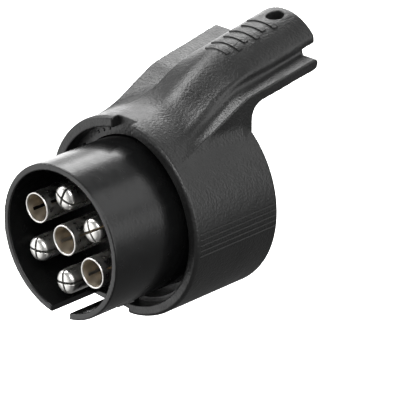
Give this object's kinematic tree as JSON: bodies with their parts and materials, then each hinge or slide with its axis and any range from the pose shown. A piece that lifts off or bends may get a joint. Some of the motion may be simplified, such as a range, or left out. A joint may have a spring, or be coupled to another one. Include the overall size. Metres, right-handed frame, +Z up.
{
  "type": "trailer wiring adapter",
  "caption": "Short trailer wiring adapter: a round plug barrel with split pin and tube contacts in front, a keyed multi-contact socket behind, and a ridged pull handle on top.",
  "frame": {"origin": "on the plug axis, in the plane of the collar's front face, where the vehicle's socket meets the adapter", "axes": "+Y along the plug axis from the plug end to the socket end, +Z up through the handle, +X to the right when facing the plug end"},
  "size_m": [0.0492, 0.0723, 0.0625],
  "materials": {
    "housing_plastic": "black glass-filled nylon with a fine spark-eroded grain",
    "barrel_plastic": "smoother black nylon",
    "insert_plastic": "dull black nylon",
    "nickel": "bright nickel plate on brass",
    "brass": "turned brass",
    "rubber": "matt black rubber",
    "steel": "zinc-plated steel",
    "copper": "bare copper wire"
  },
  "bodies": {
    "root": {"housing": "housing_plastic", "plug_body": "barrel_plastic", "barrel_seal": "rubber", "tube_contact_centre": "nickel", "tube_contact_upper": "nickel", "tube_contact_lower": "nickel", "pin_contact_top": "nickel", "pin_contact_right": "nickel", "pin_contact_left": "nickel", "pin_contact_bottom": "nickel", "contact_retainer": "insert_plastic", "socket_carrier": "insert_plastic", "socket_sleeve_1": "brass", "socket_sleeve_2": "brass", "socket_sleeve_3": "brass", "socket_sleeve_4": "brass", "socket_sleeve_5": "brass", "socket_sleeve_6": "brass", "socket_sleeve_7": "brass", "socket_sleeve_8": "brass", "socket_sleeve_9": "brass", "socket_sleeve_10": "brass", "socket_sleeve_11": "brass", "socket_sleeve_12": "brass", "socket_sleeve_13": "brass", "socket_seal": "rubber", "carrier_screw_1": "steel", "carrier_screw_2": "steel", "carrier_screw_3": "steel", "link_right": "copper", "link_top": "copper", "link_upper": "copper", "link_left": "copper", "link_bottom": "copper", "link_lower": "copper", "link_centre": "copper"}
  },
  "joints": []
}
